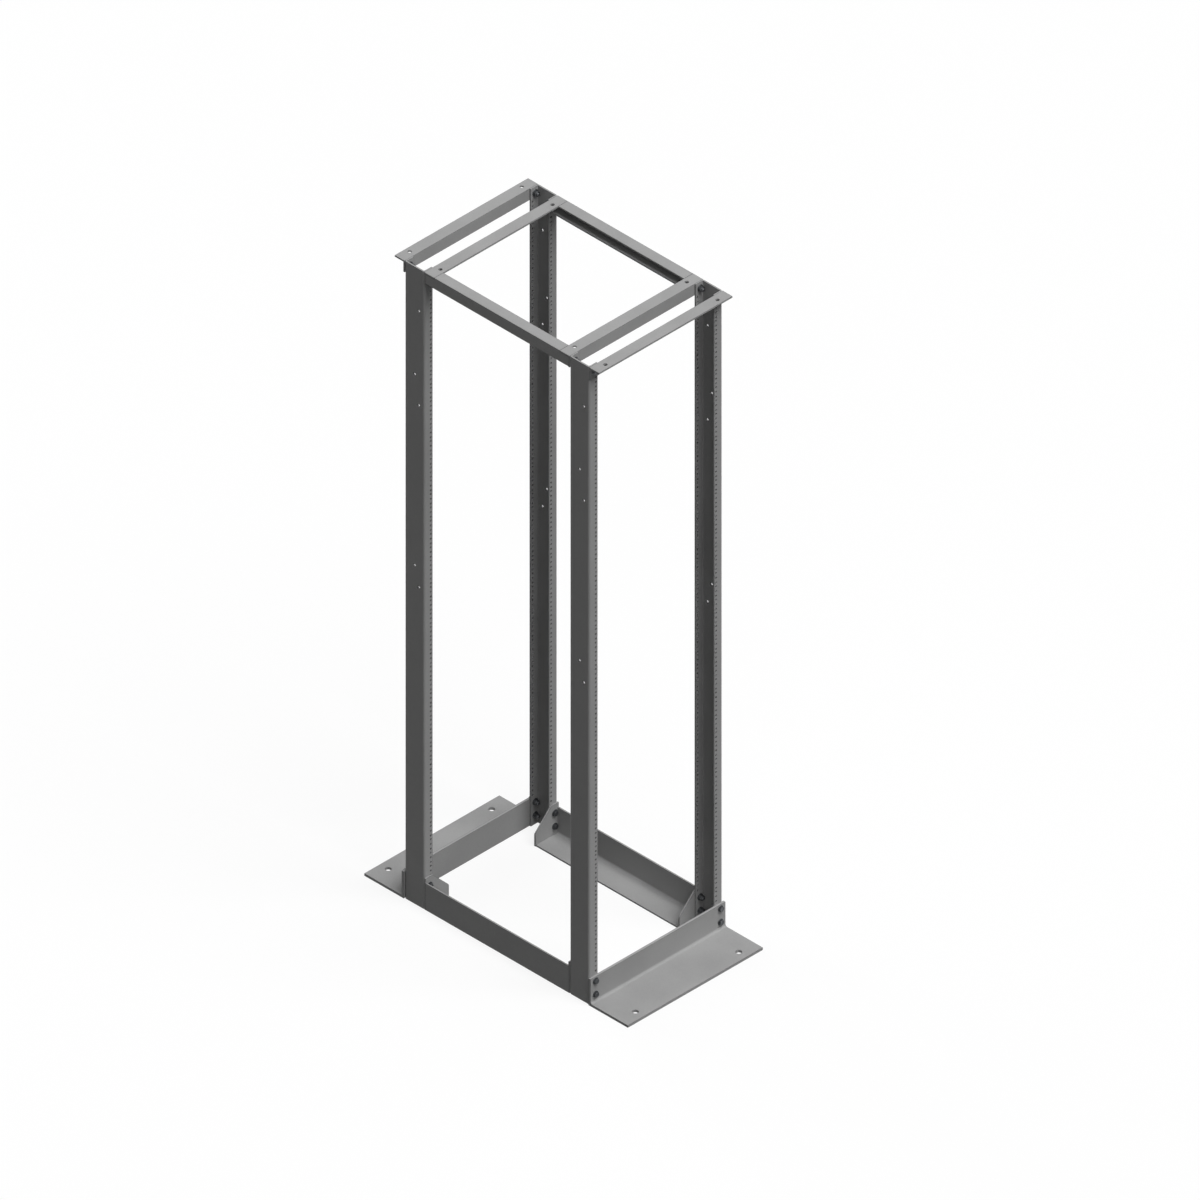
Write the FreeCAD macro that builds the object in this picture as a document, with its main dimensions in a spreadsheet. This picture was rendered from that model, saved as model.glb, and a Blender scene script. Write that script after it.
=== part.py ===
import FreeCAD, Part
import os
import Sketcher

# Four post open frame rack, 45 units, for 19 inch equipment.
# Millimetres. +Z is up, the front of the rack faces -Y and +X is to the right.
# The origin lies on the floor at the middle of the footprint.

SIZES = [
    # the frame
    ("rack_height", 2133.6, "floor to the top of the posts"),
    ("rack_width", 515.6, "outside of one web to the outside of the other"),
    ("rack_depth", 714.2, "front of the front posts to rear of the rear posts"),
    # the post channels
    ("channel_depth", 76.2, "width of the web, over both flanges"),
    ("channel_flange", 32.2, "flange, measured over the web"),
    ("channel_wall", 4.8, "plate of web and flanges"),
    ("bend_radius", 6.4, "outside radius of the two bends"),
    # the equipment holes
    ("unit_pitch", 44.45, "one rack unit"),
    ("unit_start", 95.25, "floor to the bottom of the first unit"),
    ("unit_clear", 38.1, "least distance from the last unit to the post's top"),
    ("hole_edge", 6.35, "bottom of a unit to its first hole"),
    ("hole_step", 15.875, "from each hole of a unit to the next"),
    ("hole_margin", 6.95, "flange tip to the middle of an equipment hole"),
    ("hole_size", 5.5, "bore of an equipment hole"),
    # the cable manager holes in the webs, stated down from the post's top
    ("web_hole_size", 9.5, "bore"),
    ("web_hole_shift", 16.5, "from the middle of the web to the second column"),
    ("middle_drop_high", 360.7, "middle column, upper hole"),
    ("middle_drop_low", 1000.8, "middle column, lower hole"),
    ("second_drop_high", 142.2, "second column, top hole"),
    ("second_drop_mid", 457.2, "second column, hole between"),
    ("second_drop_low", 1066.8, "second column, low hole"),
    # frame bolts
    ("bolt_hole", 10.3, "clearance hole for a three-eighths bolt"),
    ("bolt_margin", 12.7, "top of the base angle to the upper base bolt"),
    ("bolt_step", 44.45, "upper base bolt to the lower one"),
    # the heavy base angles, front and rear
    ("base_leg", 88.9, "upright leg"),
    ("base_foot", 152.4, "leg on the floor"),
    ("base_wall", 7.9, "plate"),
    ("base_root", 8.0, "radius in the corner between the legs"),
    ("base_overhang", 3.2, "beyond the web at each end"),
    ("anchor_hole", 17.5, "floor anchor hole"),
    ("anchor_margin", 31.7, "tip of the foot to the anchor holes"),
    ("anchor_inset", 61.0, "end of the base angle to the anchor hole"),
    # the base side angles
    ("side_leg", 88.9, "upright leg"),
    ("side_foot", 88.9, "leg on the floor"),
    ("side_wall", 4.8, "plate"),
    ("side_root", 4.8, "radius in the corner between the legs"),
    # the gusset plates that close the ends of the side angles
    ("gusset_wall", 4.8, "plate"),
    ("gusset_lip", 1.6, "beyond the foot of the side angle"),
    ("gusset_edge", 41.0, "height of the upright inner edge"),
    ("gusset_rise", 15.1, "beyond the leg of the side angle, upward"),
    ("gusset_top", 28.0, "width of the level top edge"),
    ("gusset_round", 12.0, "radius of the outer corners"),
    # the top angles, two to a frame
    ("top_leg", 38.1, "both legs"),
    ("top_wall", 4.8, "plate"),
    ("tie_hole", 11.0, "hole in the level leg, near each end"),
    ("tie_clear", 6.1, "flange tip of the top side channel to that hole's middle"),
    # the top side channels and the plates in their ends
    ("rail_height", 36.5, "over both flanges"),
    ("rail_flange", 34.9, "flange, measured over the web"),
    ("rail_wall", 4.8, "plate"),
    ("cope_clearance", 0.5, "around the top angle's level leg"),
    ("plate_wall", 4.8, "end plate"),
    ("plate_lip", 1.5, "end plate set back from the flange tips"),
]

# places that several pieces share, in the words of the sheet
BOLT_INSET = "channel_flange / 2"
BOLT_HIGH = "(base_leg - bolt_margin)"
BOLT_LOW = "(base_leg - bolt_margin - bolt_step)"
PLATE_HIGH = "(max(top_wall; rail_wall) + cope_clearance)"
PLATE_LOW = "(rail_height - rail_wall)"
TOP_BOLT = "((max(top_wall; rail_wall) + cope_clearance + rail_height - rail_wall) / 2)"

LEFT, RIGHT = 1, -1
FRONT, REAR = -1, 1
SIDES = {"left": LEFT, "right": RIGHT}
ENDS = {"front": FRONT, "rear": REAR}

doc = FreeCAD.newDocument("OpenFrameRack")
sheet = doc.addObject("Spreadsheet::Sheet", "Sizes")
for row, (alias, value, note) in enumerate(SIZES, start=1):
    sheet.set("A%d" % row, alias)
    sheet.set("B%d" % row, str(value))
    sheet.set("C%d" % row, note)
    sheet.setAlias("B%d" % row, alias)
doc.recompute()

NAMES = sorted((alias for alias, _, _ in SIZES), key=len, reverse=True)


def bound(text):
    """Put the sheet's name before each size named in an expression."""
    words, word = [], ""
    for letter in text + " ":
        if letter.isalnum() or letter == "_":
            word += letter
            continue
        words.append("Sizes." + word if word in NAMES else word)
        words.append(letter)
        word = ""
    return "".join(words).strip()


def value_of(text):
    """The present value of an expression in the sheet's sizes."""
    return float(sheet.evalExpression(bound(text)))


def new_body(label):
    """A body named after its node."""
    body = doc.addObject("PartDesign::Body", label)
    body.Label = label
    return body


def new_sketch(body, label, plane):
    """A sketch laid on one of the body's own origin planes."""
    sketch = body.newObject("Sketcher::SketchObject", body.Label + "_" + label)
    planes = {"XY": "XY_Plane", "XZ": "XZ_Plane", "YZ": "YZ_Plane"}
    for feature in body.Origin.OriginFeatures:
        if feature.Role == planes[plane]:
            sketch.AttachmentSupport = [(feature, "")]
    sketch.MapMode = "FlatFace"
    return sketch


def pin_point(sketch, geometry, which, sign_x, text_x, sign_y, text_y):
    """Hold one point of a sketch at signed distances from its origin."""
    for kind, axis, sign, text in (("DistanceX", -2, sign_x, text_x),
                                   ("DistanceY", -1, sign_y, text_y)):
        if text == "0":
            rule = Sketcher.Constraint("PointOnObject", geometry, which, axis)
            sketch.addConstraint(rule)
            continue
        ends = (-1, 1, geometry, which) if sign > 0 else (geometry, which, -1, 1)
        rule = Sketcher.Constraint(kind, *ends, value_of(text))
        index = sketch.addConstraint(rule)
        sketch.setExpression("Constraints[%d]" % index, bound(text))


def polygon(sketch, corners):
    """A closed outline, each corner (sign_x, text_x, sign_y, text_y)."""
    points = []
    for sign_x, text_x, sign_y, text_y in corners:
        x, y = sign_x * value_of(text_x), sign_y * value_of(text_y)
        points.append(FreeCAD.Vector(x, y, 0))
    count = len(points)
    for index in range(count):
        line = Part.LineSegment(points[index], points[(index + 1) % count])
        sketch.addGeometry(line, False)
    for index in range(count):
        following = (index + 1) % count
        rule = Sketcher.Constraint("Coincident", index, 2, following, 1)
        sketch.addConstraint(rule)
    for index, corner in enumerate(corners):
        pin_point(sketch, index, 1, *corner)


def circles(sketch, size, centres):
    """Round holes of one size, each centre (sign_x, text_x, sign_y, text_y)."""
    for centre in centres:
        sign_x, text_x, sign_y, text_y = centre
        place = FreeCAD.Vector(sign_x * value_of(text_x), sign_y * value_of(text_y), 0)
        ring = Part.Circle(place, FreeCAD.Vector(0, 0, 1), value_of(size) / 2)
        index = sketch.addGeometry(ring, False)
        rule = sketch.addConstraint(Sketcher.Constraint("Diameter", index, value_of(size)))
        sketch.setExpression("Constraints[%d]" % rule, bound(size))
        pin_point(sketch, index, 3, *centre)


def pad(body, sketch, length, middle=False, backward=False):
    """Give a sketch its thickness."""
    feature = body.newObject("PartDesign::Pad", sketch.Label + "_pad")
    feature.Profile = sketch
    feature.setExpression("Length", bound(length))
    feature.Midplane = middle
    feature.Reversed = backward
    sketch.Visibility = False
    doc.recompute()
    return feature


def drill(body, sketch):
    """Cut a sketch through the whole body, both ways from its plane."""
    feature = body.newObject("PartDesign::Pocket", sketch.Label + "_cut")
    feature.Profile = sketch
    feature.Type = "ThroughAll"
    feature.Midplane = True
    sketch.Visibility = False
    return feature


def round_edges(body, base, places, radius):
    """Round the edges that run through the given middle points."""
    names = []
    for number, edge in enumerate(base.Shape.Edges, start=1):
        middle = edge.CenterOfMass
        for place in places:
            if middle.distanceToPoint(FreeCAD.Vector(*place)) < 0.01:
                names.append("Edge%d" % number)
    feature = body.newObject("PartDesign::Fillet", body.Label + "_round")
    feature.Base = (base, names)
    feature.setExpression("Radius", bound(radius))
    body.Tip = feature
    doc.recompute()
    return feature


def place_body(body, x="0", y="0", z="0"):
    """Bind the three coordinates of a body's place to the sheet."""
    for axis, text in (("x", x), ("y", y), ("z", z)):
        if text != "0":
            body.setExpression("Placement.Base." + axis, bound(text))


def post(label, side, end):
    """A formed channel with its web outward, its equipment and bolt holes."""
    body = new_body(label)
    half = "channel_depth / 2"
    inner = "channel_depth / 2 - channel_wall"
    outline = new_sketch(body, "channel", "XY")
    polygon(outline, [
        (side, "0", -1, half),
        (side, "channel_flange", -1, half),
        (side, "channel_flange", -1, inner),
        (side, "channel_wall", -1, inner),
        (side, "channel_wall", 1, inner),
        (side, "channel_flange", 1, inner),
        (side, "channel_flange", 1, half),
        (side, "0", 1, half),
    ])
    channel = pad(body, outline, "rack_height")
    middle = value_of("rack_height") / 2
    outside = [(0, sign * value_of(half), middle) for sign in (-1, 1)]
    bends = round_edges(body, channel, outside, "bend_radius")
    wall = side * value_of("channel_wall")
    inside = [(wall, sign * value_of(inner), middle) for sign in (-1, 1)]
    round_edges(body, bends, inside, "max(bend_radius - channel_wall; 0.5)")

    inset = "channel_flange - hole_margin"
    unit = new_sketch(body, "unit_holes", "XZ")
    first = "unit_start + hole_edge"
    circles(unit, "hole_size", [
        (side, inset, 1, first),
        (side, inset, 1, first + " + hole_step"),
        (side, inset, 1, first + " + 2 * hole_step"),
    ])
    cut = drill(body, unit)
    doc.recompute()
    row = body.newObject("PartDesign::LinearPattern", label + "_units")
    row.Originals = [cut]
    row.Direction = (unit, ["V_Axis"])
    count = "floor((rack_height - unit_clear - unit_start) / unit_pitch + 0.001)"
    row.setExpression("Occurrences", bound(count))
    row.setExpression("Length", bound("(%s - 1) * unit_pitch" % count))
    row.Refine = False
    body.Tip = row
    doc.recompute()

    bolts = new_sketch(body, "bolt_holes", "XZ")
    circles(bolts, "bolt_hole", [
        (side, BOLT_INSET, 1, BOLT_LOW),
        (side, BOLT_INSET, 1, BOLT_HIGH),
        (side, BOLT_INSET, 1, "rack_height - " + TOP_BOLT),
    ])
    body.Tip = drill(body, bolts)

    web = new_sketch(body, "web_holes", "YZ")
    centres = []
    for drop in ("middle_drop_high", "middle_drop_low"):
        centres.append((1, "0", 1, "rack_height - " + drop))
    for drop in ("second_drop_high", "second_drop_mid", "second_drop_low"):
        centres.append((-side, "web_hole_shift", 1, "rack_height - " + drop))
    circles(web, "web_hole_size", centres)
    body.Tip = drill(body, web)

    across = "rack_width / 2"
    deep = "(rack_depth - channel_depth) / 2"
    place_body(body, "-" + across if side == LEFT else across,
               "-" + deep if end == FRONT else deep)
    return body


def long_angle(label, leg_up, leg_out, wall, length, outward, z_up):
    """An angle along X: one leg upright at y = 0, the other pointing outward.

    outward is -1 or +1, the way the level leg points along Y. z_up is 1 when
    the level leg is at the bottom and -1 when it is at the top.
    """
    body = new_body(label)
    outline = new_sketch(body, "angle", "YZ")
    polygon(outline, [
        (outward, "0", z_up, "0"),
        (outward, leg_out, z_up, "0"),
        (outward, leg_out, z_up, wall),
        (outward, wall, z_up, wall),
        (outward, wall, z_up, leg_up),
        (outward, "0", z_up, leg_up),
    ])
    angle = pad(body, outline, length, middle=True)
    return body, angle


def base_angle(label, end):
    """The heavy angle bolted across the outer faces of two posts."""
    length = "rack_width + 2 * base_overhang"
    body, angle = long_angle(label, "base_leg", "base_foot", "base_wall", length, end, 1)
    wall = value_of("base_wall")
    round_edges(body, angle, [(0, end * wall, wall)], "base_root")
    bolts = new_sketch(body, "bolt_holes", "XZ")
    across = "rack_width / 2 - " + BOLT_INSET
    centres = []
    for side in (-1, 1):
        centres.append((side, across, 1, BOLT_LOW))
        centres.append((side, across, 1, BOLT_HIGH))
    circles(bolts, "bolt_hole", centres)
    body.Tip = drill(body, bolts)
    anchors = new_sketch(body, "anchor_holes", "XY")
    across = "rack_width / 2 + base_overhang - anchor_inset"
    reach = "base_foot - anchor_margin"
    circles(anchors, "anchor_hole", [(side, across, end, reach) for side in (-1, 1)])
    body.Tip = drill(body, anchors)
    reach = "rack_depth / 2"
    place_body(body, y="-" + reach if end == FRONT else reach)
    return body


def top_angle(label, end, outer):
    """A light angle across the tops of two posts, outside or inside the frame."""
    outward = end if outer else -end
    body, _ = long_angle(label, "top_leg", "top_leg", "top_wall", "rack_width", outward, -1)
    bolts = new_sketch(body, "bolt_holes", "XZ")
    across = "rack_width / 2 - " + BOLT_INSET
    circles(bolts, "bolt_hole", [(side, across, -1, TOP_BOLT) for side in (-1, 1)])
    body.Tip = drill(body, bolts)
    ties = new_sketch(body, "tie_holes", "XY")
    across = "rack_width / 2 - rail_flange - tie_clear"
    middle = "(top_leg + top_wall) / 2"
    circles(ties, "tie_hole", [(side, across, outward, middle) for side in (-1, 1)])
    body.Tip = drill(body, ties)
    reach = "rack_depth / 2" if outer else "(rack_depth / 2 - channel_depth)"
    place_body(body, y="-" + reach if end == FRONT else reach, z="rack_height")
    return body


def base_side_angle(label, side):
    """The angle on the floor between the front and rear gussets."""
    body = new_body(label)
    outline = new_sketch(body, "angle", "XZ")
    polygon(outline, [
        (side, "0", 1, "0"),
        (side, "side_foot", 1, "0"),
        (side, "side_foot", 1, "side_wall"),
        (side, "side_wall", 1, "side_wall"),
        (side, "side_wall", 1, "side_leg"),
        (side, "0", 1, "side_leg"),
    ])
    length = "rack_depth - 2 * channel_depth - 2 * gusset_wall"
    angle = pad(body, outline, length, middle=True)
    wall = value_of("side_wall")
    round_edges(body, angle, [(side * wall, 0, wall)], "side_root")
    across = "rack_width / 2"
    place_body(body, "-" + across if side == LEFT else across)
    return body


def base_gusset(label, side, end):
    """The plate that joins a side angle to the inner flange of a post."""
    body = new_body(label)
    outline = new_sketch(body, "outline", "XZ")
    foot = "side_foot + gusset_lip"
    height = "side_leg + gusset_rise"
    polygon(outline, [
        (side, "0", 1, "0"),
        (side, foot, 1, "0"),
        (side, foot, 1, "gusset_edge"),
        (side, "gusset_top", 1, height),
        (side, "0", 1, height),
    ])
    plate = pad(body, outline, "gusset_wall", middle=True)
    corners = [
        (side * value_of(foot), 0, value_of("gusset_edge")),
        (side * value_of("gusset_top"), 0, value_of(height)),
    ]
    round_edges(body, plate, corners, "gusset_round")
    bolts = new_sketch(body, "bolt_holes", "XZ")
    circles(bolts, "bolt_hole", [
        (side, BOLT_INSET, 1, BOLT_LOW),
        (side, BOLT_INSET, 1, BOLT_HIGH),
    ])
    body.Tip = drill(body, bolts)
    across = "rack_width / 2"
    deep = "(rack_depth / 2 - channel_depth - gusset_wall / 2)"
    place_body(body, "-" + across if side == LEFT else across,
               "-" + deep if end == FRONT else deep)
    return body


def top_side_channel(label, side):
    """The channel that ties the frames together at the top, coped at its ends."""
    body = new_body(label)
    outline = new_sketch(body, "channel", "XZ")
    inner = "rail_height - rail_wall"
    polygon(outline, [
        (side, "0", -1, "0"),
        (side, "rail_flange", -1, "0"),
        (side, "rail_flange", -1, "rail_wall"),
        (side, "rail_wall", -1, "rail_wall"),
        (side, "rail_wall", -1, inner),
        (side, "rail_flange", -1, inner),
        (side, "rail_flange", -1, "rail_height"),
        (side, "0", -1, "rail_height"),
    ])
    length = "rack_depth - 2 * channel_depth - 2 * top_wall"
    pad(body, outline, length, middle=True)
    copes = new_sketch(body, "copes", "YZ")
    half = "(%s) / 2" % length
    near = half + " - top_leg + top_wall - cope_clearance"
    low = "top_wall + cope_clearance"
    for number, end in enumerate((-1, 1)):
        corners = [(end, near, -1, "0"), (end, half, -1, "0"),
                   (end, half, -1, low), (end, near, -1, low)]
        cope_corners(copes, corners, 4 * number)
    body.Tip = drill(body, copes)
    across = "rack_width / 2"
    place_body(body, "-" + across if side == LEFT else across, z="rack_height")
    return body


def cope_corners(sketch, corners, first):
    """One closed four-sided outline whose lines start at number first."""
    points = []
    for sign_x, text_x, sign_y, text_y in corners:
        x, y = sign_x * value_of(text_x), sign_y * value_of(text_y)
        points.append(FreeCAD.Vector(x, y, 0))
    for index in range(4):
        line = Part.LineSegment(points[index], points[(index + 1) % 4])
        sketch.addGeometry(line, False)
    for index in range(4):
        following = first + (index + 1) % 4
        rule = Sketcher.Constraint("Coincident", first + index, 2, following, 1)
        sketch.addConstraint(rule)
    for index, corner in enumerate(corners):
        pin_point(sketch, first + index, 1, *corner)


def top_end_plate(label, side, end):
    """The plate in the end of a top side channel, bolted through the top angle."""
    body = new_body(label)
    outline = new_sketch(body, "outline", "XZ")
    tip = "rail_flange - plate_lip"
    polygon(outline, [
        (side, "rail_wall", -1, PLATE_HIGH),
        (side, tip, -1, PLATE_HIGH),
        (side, tip, -1, PLATE_LOW),
        (side, "rail_wall", -1, PLATE_LOW),
    ])
    pad(body, outline, "plate_wall", middle=True)
    bolts = new_sketch(body, "bolt_holes", "XZ")
    circles(bolts, "bolt_hole", [(side, BOLT_INSET, -1, TOP_BOLT)])
    body.Tip = drill(body, bolts)
    across = "rack_width / 2"
    deep = "(rack_depth / 2 - channel_depth - top_wall - plate_wall / 2)"
    place_body(body, "-" + across if side == LEFT else across,
               "-" + deep if end == FRONT else deep, z="rack_height")
    return body


nodes = []
for end_name, end in ENDS.items():
    for side_name, side in SIDES.items():
        corner = end_name + "_" + side_name
        nodes.append(post("post_" + corner, side, end))
        nodes.append(base_gusset("base_gusset_" + corner, side, end))
        nodes.append(top_end_plate("top_end_plate_" + corner, side, end))
    nodes.append(base_angle("base_angle_" + end_name, end))
    nodes.append(top_angle("top_angle_%s_outer" % end_name, end, True))
    nodes.append(top_angle("top_angle_%s_inner" % end_name, end, False))
for side_name, side in SIDES.items():
    nodes.append(base_side_angle("base_side_angle_" + side_name, side))
    nodes.append(top_side_channel("top_side_channel_" + side_name, side))
doc.recompute()

for item in doc.Objects:
    if "Invalid" in item.State or "Error" in item.State:
        raise RuntimeError("%s did not build: %s" % (item.Label, item.State))

os.makedirs("parts", exist_ok=True)
for node in nodes:
    shape = node.Shape
    if shape.isNull() or not shape.isValid():
        raise RuntimeError("%s has no valid shape" % node.Label)
    shape.exportStep("parts/%s.step" % node.Label)
    print(node.Label, len(shape.Solids), round(shape.Volume))
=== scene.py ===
"""The looks of a four post open frame rack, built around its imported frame.

Metres. +Z is up, the front of the rack faces -Y and +X is to the right. The
steel comes from the frame. This script coats it, adds the bolts, washers, nuts
and cut threads that hold the rack and its equipment, and lights the whole.
"""
from __future__ import annotations

import logging
import math
import random
from dataclasses import dataclass, field
from enum import Enum
from typing import Any, Iterable, Optional

import bmesh
import bpy
from mathutils import Matrix, Vector

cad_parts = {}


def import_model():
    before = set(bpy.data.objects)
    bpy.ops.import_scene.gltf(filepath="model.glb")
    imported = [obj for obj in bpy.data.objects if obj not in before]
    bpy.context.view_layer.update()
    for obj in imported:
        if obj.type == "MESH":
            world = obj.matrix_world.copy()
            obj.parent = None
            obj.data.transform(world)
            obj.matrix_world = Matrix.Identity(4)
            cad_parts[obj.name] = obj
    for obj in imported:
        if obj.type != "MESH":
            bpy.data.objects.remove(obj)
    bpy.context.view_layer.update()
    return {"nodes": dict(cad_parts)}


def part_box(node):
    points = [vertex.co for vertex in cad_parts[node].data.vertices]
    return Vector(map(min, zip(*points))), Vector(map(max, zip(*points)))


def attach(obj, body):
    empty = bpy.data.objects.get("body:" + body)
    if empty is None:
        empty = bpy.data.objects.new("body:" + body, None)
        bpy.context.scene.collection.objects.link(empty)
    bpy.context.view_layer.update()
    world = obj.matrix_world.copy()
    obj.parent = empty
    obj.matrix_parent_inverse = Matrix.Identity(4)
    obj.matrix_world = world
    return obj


LOG = logging.getLogger("open_frame_rack")
BODY = "root"
MM = 0.001
FULL_TURN = 2 * math.pi
QUARTER_TURN = FULL_TURN / 4
Z_AXIS = Vector((0, 0, 1))
BEVEL_RAYS = 6

# Two angles, or two points in metres, that differ by less are the same.
SAME_ANGLE = 1e-6
SAME_PLACE = 1e-7

# A vector multiplied by this loses its height.
FLAT_WAY = Vector((1, 1, 0))

# A noise texture keeps near one half. These bands hold the core of its values,
# most of them, and nearly all.
NOISE_CORE = {"From Min": 0.35, "From Max": 0.65}
NOISE_MOST = {"From Min": 0.30, "From Max": 0.70}
NOISE_ALL = {"From Min": 0.25, "From Max": 0.75}

# How many finer layers a noise texture adds to its largest one.
SOFT, FINE, CLOUDY = 1.0, 2.0, 3.0


class End(Enum):
    """The two frames of the rack, by the way they face along Y."""

    FRONT = -1
    REAR = 1


class Side(Enum):
    """The two sides of the rack, along X."""

    LEFT = -1
    RIGHT = 1


def corner_name(end: End, side: Side) -> str:
    """A corner's part of a piece's name."""
    return f"{end.name}_{side.name}".lower()


# ---------------------------------------------------------------- node trees

def linear(colour: str) -> tuple[float, float, float, float]:
    """Turn an sRGB hex colour into the linear colour that shaders want.

    Args:
        colour: six hex digits after a hash.

    Returns:
        Linear red, green, blue and an alpha of one.
    """
    parts = []
    for start in (1, 3, 5):
        level = int(colour[start:start + 2], 16) / 255
        parts.append(level / 12.92 if level <= 0.04045 else ((level + 0.055) / 1.055) ** 2.4)
    return parts[0], parts[1], parts[2], 1.0


def add_node(tree: bpy.types.NodeTree, kind: str, values: Optional[dict] = None,
             links: Optional[dict] = None, **settings: Any) -> bpy.types.Node:
    """Add one node to a tree, with its settings, its values and what feeds it.

    Args:
        tree: the node tree that gets the node.
        kind: the node's type, without the ShaderNode that all of them start with.
        values: a plain value for each named or numbered input.
        links: the output socket that feeds each named or numbered input.
        settings: the node's own properties.

    Returns:
        The new node.
    """
    node = tree.nodes.new("ShaderNode" + kind)
    for name, value in settings.items():
        setattr(node, name, value)
    for name, value in (values or {}).items():
        node.inputs[name].default_value = value
    for name, socket in (links or {}).items():
        tree.links.new(socket, node.inputs[name])
    return node


def empty_material(name: str) -> bpy.types.Material:
    """Make a material with nothing in its node tree.

    Args:
        name: the material's name.

    Returns:
        The new material.
    """
    material = bpy.data.materials.new(name)
    material.use_nodes = True
    material.node_tree.nodes.clear()
    return material


def per_metre(size_mm: float) -> float:
    """The texture scale at which one feature of a pattern measures size_mm."""
    return 1 / (size_mm * MM)


def turned_from_face(tree: bpy.types.NodeTree, rounded: bpy.types.NodeSocket, start: float,
                     full: float, most: float = 1.0) -> bpy.types.NodeSocket:
    """How far a rounded normal has turned away from the face it lies on.

    Args:
        tree: the material's tree.
        rounded: the normal, rounded near the edges.
        start: the cosine of the turn at which the mask begins.
        full: the cosine of the turn at which it is whole.
        most: the mask's greatest value.

    Returns:
        A mask that is nothing on flat faces and grows towards their edges.
    """
    flat = add_node(tree, "NewGeometry")
    same = add_node(tree, "VectorMath", links={0: rounded, 1: flat.outputs["True Normal"]},
                    operation="DOT_PRODUCT")
    mask = add_node(tree, "MapRange", {"From Min": start, "From Max": full, "To Max": most},
                    {"Value": same.outputs["Value"]}, interpolation_type="SMOOTHSTEP")
    return mask.outputs["Result"]


# ------------------------------------------------------------------- finishes

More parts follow.
